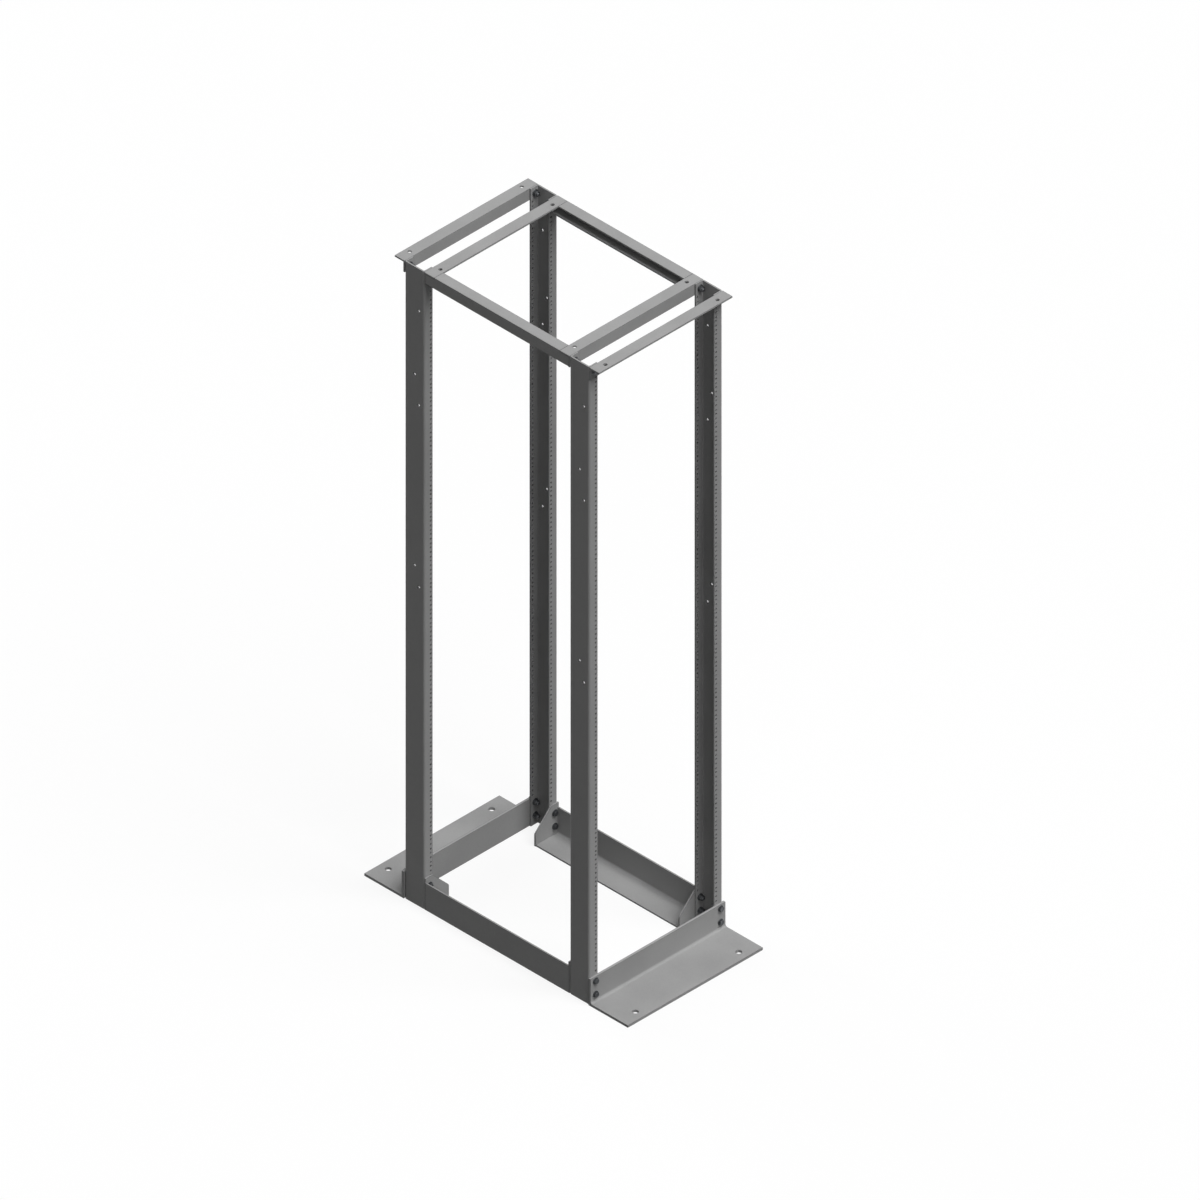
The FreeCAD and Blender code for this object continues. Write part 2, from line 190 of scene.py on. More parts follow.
@dataclass(frozen=True)
class PowderCoat:
    """Grey polyester powder, sprayed on formed steel and baked.

    It gives the eye an even satin grey with a fine orange peel, a cloudy sheen
    where the film is thicker, and a dark line along sharp edges, where the
    powder draws back and the steel shows through the thin film. That line is
    really about 1 mm wide and the peel 1 mm across. Both are drawn coarser, so
    that they still show when the whole rack is in view.

    An edge's turn is the two cosines, of the rounded normal's lean, between
    which the film thins. A scuff's cut is the band of its noise in which a rub
    fades in, and the larger the share, the more patches are rubbed.
    """

    name: str
    colour: str = "#959595"
    thick_film: str = "#9b9b9b"
    thin_film: str = "#36373a"
    scuff: str = "#b4b5b6"
    roughness: float = 0.46
    cloud_roughness: float = 0.05
    rub_roughness: float = 0.16
    ior: float = 1.5
    specular: float = 0.12
    edge_width_mm: float = 2.6
    edge_turn: tuple[float, float] = (0.995, 0.80)
    edge_depth: float = 0.85
    edge_round_mm: float = 0.7
    cloud_mm: float = 210.0
    peel_mm: float = 2.4
    peel_depth_mm: float = 0.05
    ripple_mm: float = 26.0
    ripple_depth_mm: float = 0.06
    relief: float = 0.5
    speck_mm: float = 3.2
    speck_harshness: float = 0.6
    speck_contrast: float = 0.045
    scuff_line_mm: float = 2.2
    scuff_length_mm: float = 63.0
    scuff_lean: tuple[float, float, float] = (0.10, 0.06, 0.0)
    scuff_cut: tuple[float, float] = (0.66, 0.74)
    scuff_patch_mm: float = 95.0
    scuff_patch_cut: float = 0.62
    scuff_patch_gain: float = 0.2
    scuff_patch_fade: float = 0.18
    scuff_share: float = 0.30

    def build(self) -> bpy.types.Material:
        """Make the material.

        Returns:
            The finished material.
        """
        material = empty_material(self.name)
        tree = material.node_tree
        place = add_node(tree, "TexCoord").outputs["Object"]
        edges = self._edges(tree)
        cloud = add_node(tree, "TexNoise", {"Scale": per_metre(self.cloud_mm), "Detail": CLOUDY},
                         {"Vector": place}).outputs["Fac"]
        scuffs = self._scuffs(tree, place)
        colour = self._colour(tree, place, cloud, scuffs, edges)
        sheen = add_node(tree, "MapRange", {**NOISE_MOST,
                                            "To Min": self.roughness - self.cloud_roughness,
                                            "To Max": self.roughness + self.cloud_roughness},
                         {"Value": cloud})
        rubbed = add_node(tree, "Math", {1: self.rub_roughness},
                          {0: scuffs, 2: sheen.outputs["Result"]}, operation="MULTIPLY_ADD")
        shader = add_node(tree, "BsdfPrincipled",
                          {"IOR": self.ior, "Specular IOR Level": self.specular},
                          {"Base Color": colour, "Roughness": rubbed.outputs["Value"],
                           "Normal": self._skin(tree, place)})
        add_node(tree, "OutputMaterial", links={"Surface": shader.outputs["BSDF"]})
        return material

    def _edges(self, tree: bpy.types.NodeTree) -> bpy.types.NodeSocket:
        """Find the sharp edges, where the film is thin.

        Args:
            tree: the material's tree.

        Returns:
            One along a sharp edge, falling to nothing over the edge's width.
        """
        rounded = add_node(tree, "Bevel", {"Radius": self.edge_width_mm * MM},
                           samples=BEVEL_RAYS)
        return turned_from_face(tree, rounded.outputs["Normal"], *self.edge_turn)

    def _scuffs(self, tree: bpy.types.NodeTree,
                place: bpy.types.NodeSocket) -> bpy.types.NodeSocket:
        """Lay hair-thin rubs that run up and down, in patches a hand's width across.

        Args:
            tree: the material's tree.
            place: object coordinates.

        Returns:
            One where the film is rubbed.
        """
        squeeze = self.scuff_line_mm / self.scuff_length_mm
        stretched = add_node(tree, "Mapping", {"Scale": (1.0, 1.0, squeeze),
                                               "Rotation": self.scuff_lean},
                             {"Vector": place})
        lines = add_node(tree, "TexNoise", {"Scale": per_metre(self.scuff_line_mm), "Detail": FINE},
                         {"Vector": stretched.outputs["Vector"]})
        start, full = self.scuff_cut
        thin = add_node(tree, "MapRange", {"From Min": start, "From Max": full},
                        {"Value": lines.outputs["Fac"]})
        patches = add_node(tree, "TexNoise", {"Scale": per_metre(self.scuff_patch_mm),
                                              "Detail": SOFT}, {"Vector": place})
        bare = self.scuff_patch_cut - self.scuff_patch_gain * self.scuff_share
        some = add_node(tree, "MapRange", {"From Min": bare,
                                           "From Max": bare + self.scuff_patch_fade},
                        {"Value": patches.outputs["Fac"]})
        both = add_node(tree, "Math", links={0: thin.outputs["Result"],
                                             1: some.outputs["Result"]}, operation="MULTIPLY")
        return both.outputs["Value"]

    def _colour(self, tree: bpy.types.NodeTree, place: bpy.types.NodeSocket,
                cloud: bpy.types.NodeSocket, scuffs: bpy.types.NodeSocket,
                edges: bpy.types.NodeSocket) -> bpy.types.NodeSocket:
        """The film's grey: clouded, specked with dust, scuffed and thin at the edges.

        Args:
            tree: the material's tree.
            place: object coordinates.
            cloud: the slow pattern of the film's thickness.
            scuffs: where the film is rubbed.
            edges: where an edge lies near.

        Returns:
            The colour socket.
        """
        film = add_node(tree, "MapRange", NOISE_CORE, {"Value": cloud})
        grey = add_node(tree, "MixRGB", {"Color1": linear(self.colour),
                                         "Color2": linear(self.thick_film)},
                        {"Fac": film.outputs["Result"]})
        dust = add_node(tree, "TexNoise", {"Scale": per_metre(self.speck_mm), "Detail": FINE,
                                           "Roughness": self.speck_harshness},
                        {"Vector": place})
        level = add_node(tree, "MapRange", {**NOISE_ALL,
                                            "To Min": 1 - self.speck_contrast,
                                            "To Max": 1 + self.speck_contrast},
                         {"Value": dust.outputs["Fac"]})
        specked = add_node(tree, "VectorMath", links={0: grey.outputs["Color"],
                                                      "Scale": level.outputs["Result"]},
                           operation="SCALE")
        faint = add_node(tree, "Math", {1: self.scuff_share}, {0: scuffs},
                         operation="MULTIPLY")
        rubbed = add_node(tree, "MixRGB", {"Color2": linear(self.scuff)},
                          {"Fac": faint.outputs["Value"], "Color1": specked.outputs["Vector"]})
        deep = add_node(tree, "Math", {1: self.edge_depth}, {0: edges}, operation="MULTIPLY")
        worn = add_node(tree, "MixRGB", {"Color2": linear(self.thin_film)},
                        {"Fac": deep.outputs["Value"], "Color1": rubbed.outputs["Color"]})
        return worn.outputs["Color"]

    def _skin(self, tree: bpy.types.NodeTree,
              place: bpy.types.NodeSocket) -> bpy.types.NodeSocket:
        """Round the edges and lay the sheet's slow ripple and the film's orange peel.

        Args:
            tree: the material's tree.
            place: object coordinates.

        Returns:
            The normal of the coated surface.
        """
        rounded = add_node(tree, "Bevel", {"Radius": self.edge_round_mm * MM},
                           samples=BEVEL_RAYS)
        ripple = add_node(tree, "TexNoise", {"Scale": per_metre(self.ripple_mm), "Detail": SOFT},
                          {"Vector": place})
        wavy = add_node(tree, "Bump", {"Strength": self.relief,
                                       "Distance": self.ripple_depth_mm * MM},
                        {"Height": ripple.outputs["Fac"], "Normal": rounded.outputs["Normal"]})
        peel = add_node(tree, "TexNoise", {"Scale": per_metre(self.peel_mm), "Detail": SOFT},
                        {"Vector": place})
        skin = add_node(tree, "Bump", {"Strength": self.relief,
                                       "Distance": self.peel_depth_mm * MM},
                        {"Height": peel.outputs["Fac"], "Normal": wavy.outputs["Normal"]})
        return skin.outputs["Normal"]


@dataclass(frozen=True)
class ZincFlake:
    """Dark zinc flake on cold-headed steel fasteners, dip-spun and baked.

    It gives the eye a matt dark grey, mottled where the flakes lie thicker,
    with a brighter rub on the corners that the wrench has touched.
    """

    name: str
    colour: str = "#616365"
    thin: str = "#4c4e51"
    bright: str = "#909294"
    metallic: float = 0.85
    thin_roughness: float = 0.52
    thick_roughness: float = 0.36
    corner_mm: float = 0.35
    corner_turn: tuple[float, float] = (0.99, 0.85)
    corner_rub: float = 0.6
    mottle_mm: float = 2.2
    grain_mm: float = 0.45
    grain_depth_mm: float = 0.02
    relief: float = 0.4

    def build(self) -> bpy.types.Material:
        """Make the material.

        Returns:
            The finished material.
        """
        material = empty_material(self.name)
        tree = material.node_tree
        place = add_node(tree, "TexCoord").outputs["Object"]
        mottle = add_node(tree, "TexNoise", {"Scale": per_metre(self.mottle_mm), "Detail": CLOUDY},
                          {"Vector": place})
        spread = add_node(tree, "MapRange", NOISE_MOST, {"Value": mottle.outputs["Fac"]})
        grey = add_node(tree, "MixRGB", {"Color1": linear(self.thin),
                                         "Color2": linear(self.colour)},
                        {"Fac": spread.outputs["Result"]})
        rounded = add_node(tree, "Bevel", {"Radius": self.corner_mm * MM}, samples=BEVEL_RAYS)
        corner = turned_from_face(tree, rounded.outputs["Normal"], *self.corner_turn,
                                  most=self.corner_rub)
        rubbed = add_node(tree, "MixRGB", {"Color2": linear(self.bright)},
                          {"Fac": corner, "Color1": grey.outputs["Color"]})
        gloss = add_node(tree, "MapRange", {"To Min": self.thin_roughness,
                                            "To Max": self.thick_roughness},
                         {"Value": spread.outputs["Result"]})
        grain = add_node(tree, "TexNoise", {"Scale": per_metre(self.grain_mm), "Detail": FINE},
                         {"Vector": place})
        rough = add_node(tree, "Bump", {"Strength": self.relief,
                                        "Distance": self.grain_depth_mm * MM},
                         {"Height": grain.outputs["Fac"], "Normal": rounded.outputs["Normal"]})
        shader = add_node(tree, "BsdfPrincipled", {"Metallic": self.metallic},
                          {"Base Color": rubbed.outputs["Color"],
                           "Roughness": gloss.outputs["Result"],
                           "Normal": rough.outputs["Normal"]})
        add_node(tree, "OutputMaterial", links={"Surface": shader.outputs["BSDF"]})
        return material


@dataclass(frozen=True)
class CutThread:
    """Mild steel threads, cut by a tap after the coating.

    They give the eye a dull dark metal with an oily sheen inside each hole.
    """

    name: str
    colour: str = "#6c6d6f"
    oiled: str = "#4d4b48"
    metallic: float = 1.0
    dry_roughness: float = 0.42
    oiled_roughness: float = 0.26
    stain_mm: float = 7.0

    def build(self) -> bpy.types.Material:
        """Make the material.

        Returns:
            The finished material.
        """
        material = empty_material(self.name)
        tree = material.node_tree
        place = add_node(tree, "TexCoord").outputs["Object"]
        stain = add_node(tree, "TexNoise", {"Scale": per_metre(self.stain_mm), "Detail": CLOUDY},
                         {"Vector": place})
        oil = add_node(tree, "MapRange", NOISE_CORE, {"Value": stain.outputs["Fac"]})
        steel = add_node(tree, "MixRGB", {"Color1": linear(self.colour),
                                          "Color2": linear(self.oiled)},
                         {"Fac": oil.outputs["Result"]})
        gloss = add_node(tree, "MapRange", {"To Min": self.dry_roughness,
                                            "To Max": self.oiled_roughness},
                         {"Value": oil.outputs["Result"]})
        shader = add_node(tree, "BsdfPrincipled", {"Metallic": self.metallic},
                          {"Base Color": steel.outputs["Color"],
                           "Roughness": gloss.outputs["Result"]})
        add_node(tree, "OutputMaterial", links={"Surface": shader.outputs["BSDF"]})
        return material


# --------------------------------------------------------------------- meshes

def finished_mesh(shape: bmesh.types.BMesh, name: str, sharp_degrees: float) -> bpy.types.Mesh:
    """Turn a bmesh into a mesh that is smooth except along its sharp edges.

    Args:
        shape: the bmesh, which is freed.
        name: the mesh's name.
        sharp_degrees: the angle between faces above which an edge stays sharp.

    Returns:
        The new mesh.
    """
    mesh = bpy.data.meshes.new(name)
    shape.to_mesh(mesh)
    shape.free()
    for face in mesh.polygons:
        face.use_smooth = True
    mesh.set_sharp_from_angle(angle=math.radians(sharp_degrees))
    return mesh


def join_copies(parts: Iterable[tuple[bpy.types.Mesh, Matrix]]) -> bmesh.types.BMesh:
    """One bmesh that holds a copy of each shape at its place.

    Args:
        parts: the shapes, each at the origin, with the place of its copy.

    Returns:
        The joined copies.
    """
    joined = bmesh.new()
    for shape, place in parts:
        copy = shape.copy()
        copy.transform(place)
        joined.from_mesh(copy)
        bpy.data.meshes.remove(copy)
    return joined


def stand(foot: Vector, way: Vector, chance: random.Random) -> Matrix:
    """Stand a shape on a face, turned by chance about its own axis.

    Args:
        foot: where its origin goes.
        way: where its +Z points.
        chance: the turn.

    Returns:
        The shape's place.
    """
    turn = Matrix.Rotation(chance.uniform(0, FULL_TURN), 4, "Z")
    return Matrix.Translation(foot) @ way.to_track_quat("Z", "Y").to_matrix().to_4x4() @ turn


def add_piece(name: str, mesh: bpy.types.Mesh, material: bpy.types.Material) -> None:
    """Give a mesh its object and material and let it ride on the rack.

    Args:
        name: the piece's name.
        mesh: its mesh, already in place.
        material: its finish.
    """
    piece = bpy.data.objects.new(name, mesh)
    bpy.context.scene.collection.objects.link(piece)
    piece.data.materials.append(material)
    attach(piece, BODY)
    LOG.info("piece %s: %d faces", name, len(mesh.polygons))


def lathe(profile: list[tuple[float, float]], steps: int, closed: bool,
          angle: float = FULL_TURN, climb: float = 0.0) -> bmesh.types.BMesh:
    """Spin an outline round the Z axis.

    Args:
        profile: (radius, height) points of the outline.
        steps: how many parts the turn has.
        closed: whether the outline's last point joins its first.
        angle: how far the outline turns.
        climb: how far it rises over the whole turn.

    Returns:
        The turned shape, with its normals outward.
    """
    shape = bmesh.new()
    points = [shape.verts.new((radius, 0, height)) for radius, height in profile]
    pairs = list(zip(points, points[1:]))
    if closed:
        pairs.append((points[-1], points[0]))
    edges = [shape.edges.new(pair) for pair in pairs]
    whole = abs(angle - FULL_TURN) < SAME_ANGLE
    bmesh.ops.spin(shape, geom=points + edges, cent=(0, 0, 0), axis=Z_AXIS, angle=angle,
                   steps=steps, dvec=Z_AXIS * (climb / steps), use_merge=whole)
    bmesh.ops.remove_doubles(shape, verts=shape.verts, dist=SAME_PLACE)
    open_edges = [edge for edge in shape.edges if edge.is_boundary]
    if open_edges and closed:
        bmesh.ops.holes_fill(shape, edges=open_edges, sides=0)
    bmesh.ops.recalc_face_normals(shape, faces=shape.faces)
    return shape


# ------------------------------------------------------------------ fasteners

@dataclass(frozen=True)
class FastenerSizes:
    """A three-eighths inch hex bolt with its nut and washers.

    Lengths are in metres. The thread's share is its depth over its pitch, and
    the spring washer's lift is how far its two ends stand apart.
    """

    shank: float = 9.5 * MM
    pitch: float = 25.4 / 16 * MM
    thread_share: float = 0.55
    end_beyond_nut: float = 3.6 * MM
    end_chamfer: float = 0.5 * MM
    across_flats: float = 14.3 * MM
    crown_share: float = 0.95
    cone_degrees: float = 30.0
    head_height: float = 6.2 * MM
    dish_rim: float = 1.3 * MM
    dish_depth: float = 0.35 * MM
    nut_height: float = 8.3 * MM
    countersink: float = 0.7 * MM
    washer_outside: float = 20.6 * MM
    washer_bore: float = 10.3 * MM
    washer_plate: float = 1.65 * MM
    washer_soft: float = 0.3 * MM
    spring_outside: float = 17.2 * MM
    spring_bore: float = 9.8 * MM
    spring_plate: float = 2.4 * MM
    spring_lift: float = 0.15 * MM
    spring_gap_degrees: float = 9.0

    @property
    def crown(self) -> float:
        """The radius of the flat round end that the cone leaves on a hexagon."""
        return self.across_flats / 2 * self.crown_share

    @property
    def thread_depth(self) -> float:
        """How far the thread is cut into the bolt."""
        return self.thread_share * self.pitch


class Fasteners:
    """The shapes of one bolt, nut and pair of washers, each along +Z.

    Each stands on z = 0, which is the face it is tightened against, and is
    made once and then copied to its places.
    """

    HEX_STEPS = 24
    ROUND_STEPS = 28
    FACES_UP = 0.9
    HEX_SHARP = 24.0
    ROUND_SHARP = 30.0
    THREAD_SHARP = 20.0

    def __init__(self, sizes: FastenerSizes) -> None:
        """Make the shapes.

        Args:
            sizes: the fastener's sizes.
        """
        self.sizes = sizes
        self.head = self._hex_head()
        self.nut = self._hex_nut()
        self.flat_washer = self._flat_washer()
        self.spring_washer = self._spring_washer()
        self.thread_end = self._thread_end()

    def _hex_reach(self, turn: float) -> float:
        """How far the hexagon's side lies from its middle, at an angle."""
        sixth = FULL_TURN / 6
        return self.sizes.across_flats / 2 / math.cos((turn % sixth) - sixth / 2)

    def _ring_to_hex(self, ring: Iterable[bmesh.types.BMVert], face_height: float,
                     away: float) -> None:
        """Lay a ring of points on the hexagon, where the end's cone meets it.

        Args:
            ring: the points.
            face_height: the height of the flat end.
            away: -1 if the cone falls below that end and 1 if it rises above it.
        """
        slope = math.tan(math.radians(self.sizes.cone_degrees))
        for point in ring:
            turn = math.atan2(point.co.y, point.co.x)
            reach = self._hex_reach(turn)
            drop = max(reach - self.sizes.crown, 0) * slope
            point.co = (reach * math.cos(turn), reach * math.sin(turn),
                        face_height + away * drop)

    def _hex_solid(self, height: float) -> bmesh.types.BMesh:
        """A hexagonal solid with the usual cones turned on both its ends.

        Args:
            height: from its lower face to its upper one.

        Returns:
            The solid, standing on z = 0.
        """
        shape = bmesh.new()
        made = bmesh.ops.create_circle(shape, segments=self.HEX_STEPS, cap_ends=True,
                                       radius=self.sizes.crown)
        bmesh.ops.translate(shape, verts=made["verts"], vec=Z_AXIS * height)
        ring = [edge for edge in shape.edges if edge.is_boundary]
        for level, away in ((height, -1), (0.0, 1)):
            points, ring = self._next_ring(shape, ring)
            self._ring_to_hex(points, level, away)
        points, ring = self._next_ring(shape, ring)
        for point in points:
            point.co = Vector((point.co.x, point.co.y, 0)).normalized() * self.sizes.crown
        bmesh.ops.holes_fill(shape, edges=ring, sides=0)
        bmesh.ops.recalc_face_normals(shape, faces=shape.faces)
        return shape

    @staticmethod
    def _next_ring(shape: bmesh.types.BMesh, ring: list[bmesh.types.BMEdge]
                   ) -> tuple[list[bmesh.types.BMVert], list[bmesh.types.BMEdge]]:
        """Extrude a ring of edges.

        Args:
            shape: the solid that the ring belongs to.
            ring: the edges.

        Returns:
            The points and the edges of the new ring.
        """
        made = bmesh.ops.extrude_edge_only(shape, edges=ring)["geom"]
        return ([part for part in made if isinstance(part, bmesh.types.BMVert)],
                [part for part in made if isinstance(part, bmesh.types.BMEdge)])

    def _sink_end(self, shape: bmesh.types.BMesh, rims: tuple[float, ...],
                  depth: float) -> None:
        """Inset the upper end by each rim in turn, then press its middle in.

        Args:
            shape: the hexagonal solid.
            rims: the width of each rim, from the outside in.
            depth: how far the middle goes in.
        """
        end = [face for face in shape.faces if face.normal.z > self.FACES_UP]
        for rim in rims:
            bmesh.ops.inset_individual(shape, faces=end, thickness=rim)
        bmesh.ops.translate(shape, verts=list({v for face in end for v in face.verts}),
                            vec=Z_AXIS * -depth)

    def _hex_head(self) -> bpy.types.Mesh:
        """Make the bolt's head, with its dished top.

        Returns:
            Its mesh.
        """
        shape = self._hex_solid(self.sizes.head_height)
        self._sink_end(shape, (self.sizes.dish_rim,), self.sizes.dish_depth)
        return finished_mesh(shape, "hex_head", self.HEX_SHARP)

    def _hex_nut(self) -> bpy.types.Mesh:
        """Make the nut, with a countersink round the bolt's end.

        Returns:
            Its mesh.
        """
        shape = self._hex_solid(self.sizes.nut_height)
        sink = self.sizes.countersink
        rim = self.sizes.crown - self.sizes.shank / 2 - sink
        self._sink_end(shape, (rim, sink), sink)
        return finished_mesh(shape, "hex_nut", self.HEX_SHARP)

    def _flat_washer(self) -> bpy.types.Mesh:
        """Make a stamped ring with a slightly rounded rim.

        Returns:
            Its mesh.
        """
        outer, bore = self.sizes.washer_outside / 2, self.sizes.washer_bore / 2
        thick, soft = self.sizes.washer_plate, self.sizes.washer_soft
        outline = [(bore, 0), (outer - soft, 0), (outer, soft), (outer, thick - soft),
                   (outer - soft, thick), (bore + soft / 2, thick), (bore, thick - soft / 2)]
        return finished_mesh(lathe(outline, self.ROUND_STEPS, True), "flat_washer",
                             self.ROUND_SHARP)

    def _spring_washer(self) -> bpy.types.Mesh:
        """Make a split ring, pressed almost flat, with its two ends a little apart.

        Returns:
            Its mesh.
        """
        outer, bore = self.sizes.spring_outside / 2, self.sizes.spring_bore / 2
        lift, gap = self.sizes.spring_lift, math.radians(self.sizes.spring_gap_degrees)
        thick = self.sizes.spring_plate - lift
        outline = [(bore, 0), (outer, 0), (outer, thick), (bore, thick)]
        shape = lathe(outline, self.ROUND_STEPS, True, FULL_TURN - gap, lift)
        return finished_mesh(shape, "spring_washer", self.ROUND_SHARP)

    def _thread_end(self) -> bpy.types.Mesh:
        """Make the threaded end of the bolt, from inside the nut to its tip.

        Returns:
            Its mesh.
        """
        crest = self.sizes.shank / 2
        root = crest - self.sizes.thread_depth
        pitch, tip = self.sizes.pitch, self.sizes.end_beyond_nut
        outline = [(0, -pitch), (root, -pitch)]
        for turn in range(int(tip / pitch) + 1):
            outline += [(crest, (turn - 0.5) * pitch), (root, turn * pitch)]
        chamfer = self.sizes.end_chamfer
        outline += [(crest - chamfer, tip - chamfer), (root, tip), (0, tip)]
        return finished_mesh(lathe(outline, self.ROUND_STEPS, False), "thread_end",
                             self.THREAD_SHARP)


@dataclass(frozen=True)
class BoltPlace:
    """Where one bolt goes: its outer face, the inner face, and the way out."""

    head_face: Vector
    nut_face: Vector

    @property
    def outward(self) -> Vector:
        """The way the head points."""
        return (self.head_face - self.nut_face).normalized()


@dataclass
class RackCorner:
    """One post with the pieces bolted to it, and the fasteners that do it."""

    end: End
    side: Side
    base_wall: float = 7.9 * MM
    post_wall: float = 4.8 * MM
    top_wall: float = 4.8 * MM
    bolt_margin: float = 12.7 * MM
    bolt_step: float = 44.45 * MM

    def places(self) -> dict[str, list[BoltPlace]]:
        """Work out where the bolts go from the boxes of the pieces they hold.

        Returns:
            The places of the bolts at the base and at the top.
        """
        corner = corner_name(self.end, self.side)
        out = self.end.value
        toward_middle, away = (0, 1) if self.end is End.REAR else (1, 0)
        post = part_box(f"post_{corner}")
        base_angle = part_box(f"base_angle_{self.end.name.lower()}")
        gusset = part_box(f"base_gusset_{corner}")
        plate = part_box(f"top_end_plate_{corner}")
        across = (post[0].x + post[1].x) / 2
        outer_nut = post[away].y - out * self.post_wall
        inner_nut = post[toward_middle].y + out * self.post_wall
        upper = base_angle[1].z - self.bolt_margin
        base = []
        for height in (upper, upper - self.bolt_step):
            base.append(self._through(across, height, post[away].y + out * self.base_wall,
                                      outer_nut))
            base.append(self._through(across, height, gusset[toward_middle].y, inner_nut))
        height = (plate[0].z + plate[1].z) / 2
        top = [self._through(across, height, post[away].y + out * self.top_wall, outer_nut),
               self._through(across, height, plate[toward_middle].y, inner_nut)]
        return {"base": base, "top": top}

    @staticmethod
    def _through(across: float, height: float, head: float, nut: float) -> BoltPlace:
        """A bolt along Y from its head's face to its nut's face."""
        return BoltPlace(Vector((across, head, height)), Vector((across, nut, height)))


@dataclass
class BoltedJoints:
    """All the bolts of the rack, a set of pieces for each corner."""

    finish: ZincFlake = field(default_factory=lambda: ZincFlake("zinc_flake_hex_fasteners"))
    sizes: FastenerSizes = field(default_factory=FastenerSizes)
    seed: int = 19

    def build(self) -> None:
        """Make the fasteners of the four corners."""
        shapes = Fasteners(self.sizes)
        material = self.finish.build()
        chance = random.Random(self.seed)
        for end in End:
            for side in Side:
                corner = corner_name(end, side)
                for level, places in RackCorner(end, side).places().items():
                    self._dress(f"{level}_{{}}_{corner}", places, shapes, material, chance)

    def _dress(self, name: str, places: list[BoltPlace], shapes: Fasteners,
               material: bpy.types.Material, chance: random.Random) -> None:
        """Put bolts, washers and nuts at the places of one corner and level.

        Args:
            name: the pieces' name, with a gap for the kind of fastener.
            places: where the bolts go.
            shapes: the fastener shapes.
            material: their finish.
            chance: the turn that each fastener was left at.
        """
        washer, spring = self.sizes.washer_plate, self.sizes.spring_plate
        kinds: dict[str, list[tuple[bpy.types.Mesh, Matrix]]] = {
            "bolts": [], "washers": [], "nuts": []}
        for place in places:
            out, back = place.outward, -place.outward
            head, nut = place.head_face, place.nut_face
            seat = nut + back * (washer + spring)
            stack = (("washers", shapes.flat_washer, head, out),
                     ("bolts", shapes.head, head + out * washer, out),
                     ("washers", shapes.flat_washer, nut, back),
                     ("washers", shapes.spring_washer, nut + back * washer, back),
                     ("nuts", shapes.nut, seat, back),
                     ("bolts", shapes.thread_end, seat + back * self.sizes.nut_height, back))
            for kind, shape, foot, way in stack:
                kinds[kind].append((shape, stand(foot, way, chance)))
        for kind, parts in kinds.items():
            piece = name.format(kind)
            mesh = finished_mesh(join_copies(parts), piece, Fasteners.HEX_SHARP)
            add_piece(piece, mesh, material)


@dataclass
class TappedHoles:
    """The cut threads in the equipment holes of both flanges of each post."""

    finish: CutThread = field(default_factory=lambda: CutThread("tap_cut_steel_threads"))
    units: int = 45
    unit_pitch: float = 44.45 * MM
    first_hole: float = 101.6 * MM
    hole_steps: tuple[float, ...] = (0.0, 15.875 * MM, 31.75 * MM)
    web_to_hole: float = 25.25 * MM
    bore: float = 5.5 * MM
    bore_gap: float = 0.02 * MM
    crest: float = 4.7 * MM
    flange: float = 4.8 * MM
    set_in: float = 0.4 * MM
    ridges: int = 3
    steps: int = 10
    sharp_degrees: float = 20.0

    def build(self) -> None:
        """Line the holes of the four posts."""
        material = self.finish.build()
        lining = self._lining()
        for end in End:
            for side in Side:
                corner = corner_name(end, side)
                joined = join_copies((lining, place) for place in self._places(corner, side))
                piece = f"hole_threads_{corner}"
                add_piece(piece, finished_mesh(joined, piece, self.sharp_degrees), material)

    def _lining(self) -> bpy.types.Mesh:
        """Make the thread ridges of one hole, along Z and facing its axis.

        Returns:
            Their mesh, a little shorter than the flange is thick.
        """
        back, front = self.bore / 2 - self.bore_gap, self.crest / 2
        length = self.flange - 2 * self.set_in
        pitch = length / self.ridges
        outline = [(back, -length / 2)]
        for ridge in range(self.ridges):
            outline += [(front, (ridge + 0.5) * pitch - length / 2),
                        (back, (ridge + 1) * pitch - length / 2)]
        shape = lathe(outline, self.steps, False)
        outward = sum(face.normal.dot(face.calc_center_median() * FLAT_WAY)
                      for face in shape.faces)
        if outward > 0:
            bmesh.ops.reverse_faces(shape, faces=shape.faces)
        return finished_mesh(shape, "thread_lining", self.sharp_degrees)

    def _places(self, corner: str, side: Side) -> list[Matrix]:
        """Work out the holes of one post from its box.

        Args:
            corner: the post's corner.
            side: the side of the rack that it stands on.

        Returns:
            The middle of each hole, with the lining's axis turned along Y.
        """
        low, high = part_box(f"post_{corner}")
        web = low.x if side is Side.LEFT else high.x
        across = web - side.value * self.web_to_hole
        level = Matrix.Rotation(QUARTER_TURN, 4, "X")
        middles = []
        for depth in (low.y + self.flange / 2, high.y - self.flange / 2):
            for unit in range(self.units):
                for step in self.hole_steps:
                    height = low.z + self.first_hole + unit * self.unit_pitch + step
                    middles.append(Matrix.Translation((across, depth, height)) @ level)
        return middles


